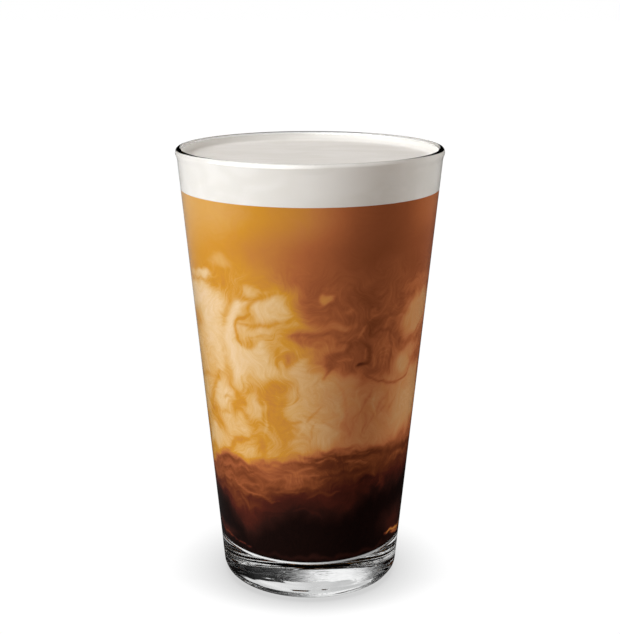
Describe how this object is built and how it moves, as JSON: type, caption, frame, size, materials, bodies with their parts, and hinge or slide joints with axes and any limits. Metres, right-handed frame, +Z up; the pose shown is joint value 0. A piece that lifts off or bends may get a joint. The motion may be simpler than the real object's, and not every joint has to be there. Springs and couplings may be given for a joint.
{
  "type": "nitro cold brew coffee in a pint glass",
  "caption": "Tapered clear pint glass of cold brew coffee with a white foam head, a swirling cream cloud and dark coffee at the bottom.",
  "frame": {"origin": "centre of the circle that the glass stands on, at the bottom of the bounding box", "axes": "+Z up along the glass's axis; the pictured side faces -Y, with +X to its right"},
  "size_m": [0.0888, 0.0888, 0.15],
  "materials": {
    "clear_glass": "clear fire-polished soda-lime glass",
    "milk_foam": "fine-bubbled white foam, matt with a soft sheen",
    "milky_coffee": "cloudy golden-brown coffee",
    "cream": "pale cream swirled with coffee",
    "dark_coffee": "near-black coffee with a red-brown edge"
  },
  "bodies": {
    "root": {"glass": "clear_glass", "foam_head": "milk_foam", "milky_coffee": "milky_coffee", "cream_cloud": "cream", "dark_coffee": "dark_coffee"}
  },
  "joints": []
}
